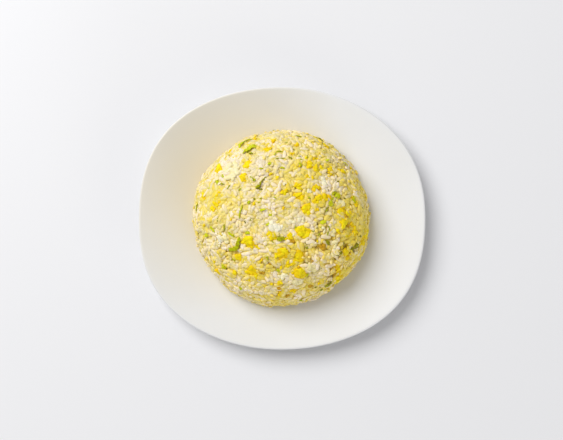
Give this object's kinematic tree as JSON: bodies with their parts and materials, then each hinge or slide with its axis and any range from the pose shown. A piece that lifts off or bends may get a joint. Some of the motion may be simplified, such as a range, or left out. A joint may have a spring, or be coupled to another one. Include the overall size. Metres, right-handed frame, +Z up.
{
  "type": "fried rice plate",
  "caption": "Bowl-moulded dome of egg-fried rice with yellow egg curds and green scallion bits, served on a white soft-cornered oval coupe plate.",
  "frame": {"origin": "under the middle of the plate's outline, level with the flat face of the foot ring it stands on", "axes": "+Z up, +X along the plate's long side, +Y across it"},
  "size_m": [0.2438, 0.2234, 0.0694],
  "materials": {
    "white_porcelain": "gloss",
    "egg_fried_rice": "satin"
  },
  "bodies": {
    "root": {"plate": "white_porcelain", "rice_heap": "egg_fried_rice"}
  },
  "joints": []
}
